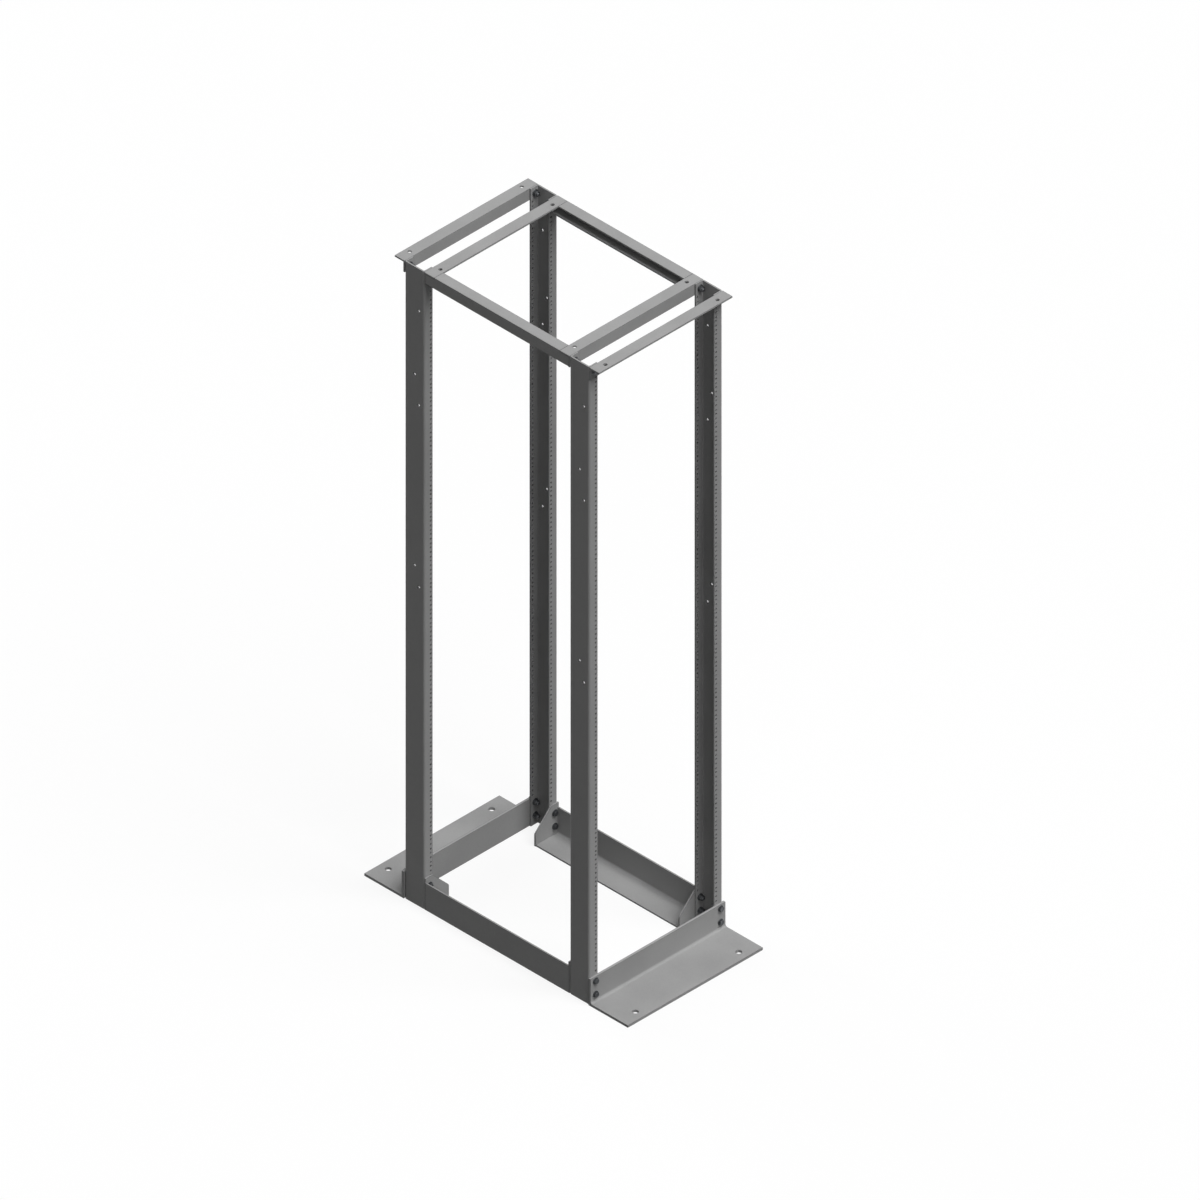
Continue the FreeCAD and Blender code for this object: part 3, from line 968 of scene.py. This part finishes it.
@dataclass
class CoatedSteel:
    """The finish of every piece of steel that the frame holds."""

    posts: PowderCoat = field(default_factory=lambda: PowderCoat(
        "powder_coated_formed_posts"))
    base: PowderCoat = field(default_factory=lambda: PowderCoat(
        "powder_coated_rolled_base", scuff_share=0.45, cloud_mm=150.0))
    top: PowderCoat = field(default_factory=lambda: PowderCoat(
        "powder_coated_light_top", scuff_share=0.25, cloud_mm=120.0))

    def build(self, nodes: dict[str, bpy.types.Object]) -> None:
        """Coat the frame's nodes.

        Args:
            nodes: the frame's objects by name.
        """
        coats = {"post": self.posts.build(), "base": self.base.build(), "top": self.top.build()}
        for name, node in nodes.items():
            family = name.split("_")[0]
            slots = node.material_slots
            if not slots:
                node.data.materials.append(coats[family])
            for slot in slots:
                slot.material = coats[family]
            LOG.info("coated %s as %s", name, family)


# --------------------------------------------------------------------- studio

@dataclass(frozen=True)
class Lamp:
    """A far, broad lamp: where it stands, how strong and how soft it is.

    A lamp that isn't mirrored lights the rack without a highlight, so level
    faces keep their grey when they are seen at a low angle against it.
    """

    name: str
    way: tuple[float, float, float]
    level: float
    breadth_degrees: float
    mirrored: bool = True


@dataclass
class Studio:
    """The pale floor, the plain light and the camera.

    Lengths are in metres. The span is the width that the camera takes in, and
    the sight is how far away it still sees.
    """

    floor_size: float = 120.0
    floor_drop: float = 0.4 * MM
    floor_seen: str = "#f4f4f4"
    floor_bounce: str = "#1a1a1a"
    floor_glow: float = 0.99
    floor_mottle_mm: float = 900.0
    floor_mottle: float = 0.015
    shadow_share: float = 0.16
    backdrop: str = "#fdfdfd"
    ambient: float = 0.012
    lamps: tuple[Lamp, ...] = (Lamp("key_softbox", (0.03, -0.49, 0.88), 0.99, 38.0),
                               Lamp("fill_softbox", (-0.577, -0.577, 0.577), 0.13, 20.0),
                               Lamp("right_softbox", (1.0, 0.0, 0.10), 0.36, 32.0, False),
                               Lamp("back_softbox", (0.0, 0.93, 0.36), 0.42, 32.0, False))
    lamp_distance: float = 6.0
    azimuth: float = -45.0
    elevation: float = math.degrees(math.atan(math.sqrt(0.5)))
    span: float = 3.2812
    aim_right: float = 0.0996
    aim_up: float = 0.8553
    distance: float = 9.0
    sight: float = 200.0

    def build(self) -> None:
        """Make the floor, the world, the lamps and the camera."""
        bpy.context.scene.view_settings.view_transform = "Standard"
        self._world()
        self._floor()
        for lamp in self.lamps:
            self._lamp(lamp)
        self._camera()

    @staticmethod
    def _seen_rays(tree: bpy.types.NodeTree) -> bpy.types.NodeSocket:
        """Tell the rays that see a surface from those that light it.

        Args:
            tree: the tree of a material or of the world.

        Returns:
            One for rays that the eye, a gloss or a glass sends out.
        """
        rays = add_node(tree, "LightPath")
        first = add_node(tree, "Math", links={0: rays.outputs["Is Camera Ray"],
                                              1: rays.outputs["Is Glossy Ray"]},
                         operation="MAXIMUM")
        every = add_node(tree, "Math", links={0: first.outputs["Value"],
                                              1: rays.outputs["Is Transmission Ray"]},
                         operation="MAXIMUM")
        return every.outputs["Value"]

    def _world(self) -> None:
        """White where it is seen, and an even dim light all round."""
        world = bpy.data.worlds.new("white_studio")
        world.use_nodes = True
        tree = world.node_tree
        tree.nodes.clear()
        dim = add_node(tree, "Background", {"Color": (1, 1, 1, 1), "Strength": self.ambient})
        white = add_node(tree, "Background", {"Color": linear(self.backdrop), "Strength": 1.0})
        mixed = add_node(tree, "MixShader", links={0: self._seen_rays(tree),
                                                   1: dim.outputs["Background"],
                                                   2: white.outputs["Background"]})
        add_node(tree, "OutputWorld", links={"Surface": mixed.outputs["Shader"]})
        bpy.context.scene.world = world

    def _floor(self) -> None:
        """Lay the floor just under the rack's feet."""
        finish = self._floor_finish()
        shape = bmesh.new()
        bmesh.ops.create_grid(shape, x_segments=2, y_segments=2, size=self.floor_size / 2)
        bmesh.ops.translate(shape, verts=shape.verts, vec=Z_AXIS * -self.floor_drop)
        mesh = bpy.data.meshes.new("studio_floor")
        shape.to_mesh(mesh)
        shape.free()
        floor = bpy.data.objects.new("studio_floor", mesh)
        bpy.context.scene.collection.objects.link(floor)
        floor.data.materials.append(finish)

    def _floor_finish(self) -> bpy.types.Material:
        """Make a pale matt finish that keeps a faint shadow of the rack.

        It is pale where it is seen and dark where it would throw light back up.

        Returns:
            The floor's material.
        """
        material = empty_material("matt_white_studio_floor")
        tree = material.node_tree
        seen = self._seen_rays(tree)
        place = add_node(tree, "TexCoord").outputs["Object"]
        mottle = add_node(tree, "TexNoise", {"Scale": per_metre(self.floor_mottle_mm),
                                             "Detail": FINE}, {"Vector": place})
        faint = add_node(tree, "MapRange", {"To Min": 1 - self.floor_mottle},
                         {"Value": mottle.outputs["Fac"]})
        tone = add_node(tree, "MixRGB", {"Color1": linear(self.floor_bounce),
                                         "Color2": linear(self.floor_seen)}, {"Fac": seen})
        shaded = add_node(tree, "VectorMath", links={0: tone.outputs["Color"],
                                                     "Scale": faint.outputs["Result"]},
                          operation="SCALE")
        matt = add_node(tree, "BsdfDiffuse", links={"Color": shaded.outputs["Vector"]})
        glow = add_node(tree, "Emission", {"Color": (1, 1, 1, 1), "Strength": self.floor_glow})
        share = add_node(tree, "Math", {1: 1 - self.shadow_share}, {0: seen},
                         operation="MULTIPLY")
        mixed = add_node(tree, "MixShader", links={0: share.outputs["Value"],
                                                   1: matt.outputs["BSDF"],
                                                   2: glow.outputs["Emission"]})
        add_node(tree, "OutputMaterial", links={"Surface": mixed.outputs["Shader"]})
        return material

    def _lamp(self, lamp: Lamp) -> None:
        """Set up one lamp.

        Args:
            lamp: its place and light. A level of one shows a face that is
                square to it in the face's own colour.
        """
        light = bpy.data.lights.new(lamp.name, "SUN")
        light.energy = lamp.level * math.pi
        light.angle = math.radians(lamp.breadth_degrees)
        holder = bpy.data.objects.new(lamp.name, light)
        way = Vector(lamp.way).normalized()
        holder.location = way * self.lamp_distance
        holder.rotation_mode = "QUATERNION"
        holder.rotation_quaternion = (-way).to_track_quat("-Z", "Y")
        holder.visible_glossy = lamp.mirrored
        bpy.context.scene.collection.objects.link(holder)

    def _camera(self) -> None:
        """A parallel view from above the front left corner."""
        turn, rise = math.radians(self.azimuth), math.radians(self.elevation)
        back = Vector((math.sin(turn) * math.cos(rise), -math.cos(turn) * math.cos(rise),
                       math.sin(rise)))
        right = Vector((math.cos(turn), math.sin(turn), 0))
        up = back.cross(right)
        data = bpy.data.cameras.new("studio_camera")
        data.type = "ORTHO"
        data.ortho_scale = self.span
        data.clip_end = self.sight
        camera = bpy.data.objects.new("studio_camera", data)
        camera.location = right * self.aim_right + up * self.aim_up + back * self.distance
        camera.rotation_mode = "QUATERNION"
        camera.rotation_quaternion = (-back).to_track_quat("-Z", "Y")
        bpy.context.scene.collection.objects.link(camera)
        bpy.context.scene.camera = camera


def main() -> None:
    """Dress the rack and set it in its studio."""
    logging.basicConfig(level=logging.INFO, format="%(name)s: %(message)s")
    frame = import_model()
    Studio().build()
    CoatedSteel().build(frame["nodes"])
    BoltedJoints().build()
    TappedHoles().build()


if __name__ == "__main__":
    main()
